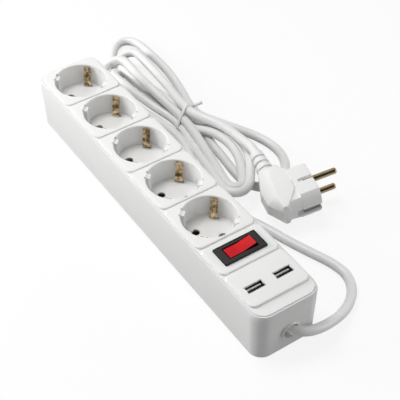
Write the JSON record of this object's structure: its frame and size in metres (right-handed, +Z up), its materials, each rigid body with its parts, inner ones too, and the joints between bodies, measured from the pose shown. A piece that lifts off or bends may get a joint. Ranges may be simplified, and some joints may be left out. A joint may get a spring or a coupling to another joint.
{
  "type": "surge protector power strip",
  "caption": "Long white multi-way power strip with round side-earth socket wells, a red rocker switch, USB ports and a mains cord tied in a hank that ends in an angled plug.",
  "frame": {"origin": "middle of the housing's underside, on the surface that it stands on", "axes": "+X along the strip towards the end that the cord leaves, +Y towards the side where the hank lies, +Z up through the sockets"},
  "size_m": [0.3563, 0.1382, 0.0471],
  "materials": {
    "housing_white": "fine satin moulding",
    "pad_white": "fine satin moulding",
    "switch_black": "satin moulding",
    "rocker_red": "glossy translucent moulding",
    "contact_brass": "pressed sheet",
    "lamp_glass": "small glass bulb",
    "port_steel": "folded sheet",
    "tongue_cream": "moulding",
    "board_green": "coated board",
    "component_dark": "moulded case",
    "varistor_blue": "dipped coating",
    "fuse_white": "ceramic-like case",
    "wire_brown": "insulation",
    "wire_blue": "insulation",
    "wire_green": "insulation",
    "screw_steel": "plated",
    "cord_white": "smooth soft sheath",
    "tie_white": "thin film over wire",
    "plug_white": "satin moulding",
    "pin_nickel": "nickel plated"
  },
  "bodies": {
    "strip": {"base_tray": "housing_white", "top_cover": "housing_white", "socket_insert_1": "pad_white", "socket_insert_2": "pad_white", "socket_insert_3": "pad_white", "socket_insert_4": "pad_white", "socket_insert_5": "pad_white", "switch_plate": "pad_white", "usb_plate": "pad_white", "line_bus_bar": "contact_brass", "neutral_bus_bar": "contact_brass", "earth_bus_bar": "contact_brass", "switch_housing": "switch_black", "switch_terminals": "contact_brass", "indicator_lamp": "lamp_glass", "usb_shells": "port_steel", "usb_tongues": "tongue_cream", "usb_circuit_board": "board_green", "usb_transformer": "component_dark", "usb_capacitors": "component_dark", "surge_board": "board_green", "varistors": "varistor_blue", "thermal_fuse": "fuse_white", "line_wires": "wire_brown", "neutral_wires": "wire_blue", "earth_wire": "wire_green", "cord_clamp": "housing_white", "clamp_screws": "screw_steel", "housing_screws": "screw_steel", "cord_bushing": "cord_white", "cord_tube": "cord_white", "cord_hank": "cord_white", "cord_lead": "cord_white", "twist_tie": "tie_white", "plug_body": "plug_white", "plug_pins": "pin_nickel", "plug_earth_contacts": "contact_brass"},
    "rocker": {"switch_rocker": "rocker_red"}
  },
  "joints": [
    {"name": "rocker_tip", "type": "hinge", "parent": "strip", "child": "rocker", "pos_m": [0.09125, 0, 0.0423], "axis": [-1, 0, 0], "range_deg": [0, 12]}
  ]
}
